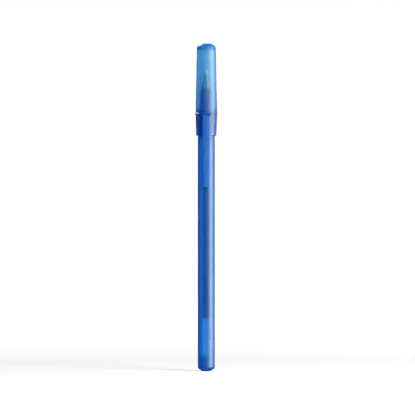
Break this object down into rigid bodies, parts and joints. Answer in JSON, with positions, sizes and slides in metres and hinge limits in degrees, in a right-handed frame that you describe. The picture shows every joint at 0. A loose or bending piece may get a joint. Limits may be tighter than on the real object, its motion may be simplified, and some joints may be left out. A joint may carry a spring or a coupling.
{
  "type": "stick ballpoint pen",
  "caption": "Round translucent stick ballpoint pen with a brass point, ink tube, tail plug and a pull-off clip cap that covers the point.",
  "frame": {"origin": "centre of the flat face at the pen's tail", "axes": "+Z along the pen's axis from the tail to the cap's closed end, -Y towards the cap's clip"},
  "size_m": [0.0102, 0.0114, 0.1499],
  "materials": {
    "barrel_plastic": "frosted translucent blue, moulded",
    "plug_plastic": "frosted translucent blue, moulded",
    "holder_plastic": "frosted translucent blue, moulded",
    "cap_plastic": "frosted translucent blue, moulded",
    "point_brass": "turned brass",
    "ball_metal": "ground hard-metal ball",
    "tube_plastic": "clear extruded tube",
    "ink_blue": "thick blue ink"
  },
  "bodies": {
    "pen": {"barrel": "barrel_plastic", "tail_plug": "plug_plastic", "tip_holder": "holder_plastic", "point_body": "point_brass", "ink_tube": "tube_plastic", "ink": "ink_blue"},
    "pen_cap": {"cap": "cap_plastic"},
    "ball": {"writing_ball": "ball_metal"}
  },
  "joints": [
    {"name": "cap_slide", "type": "slide", "parent": "pen", "child": "pen_cap", "axis": [0, 0, 1], "range_m": [0, 0.058]},
    {"name": "ball_roll", "type": "hinge", "parent": "pen", "child": "ball", "pos_m": [0, 0, 0.13772], "axis": [1, 0, 0], "continuous": true}
  ]
}
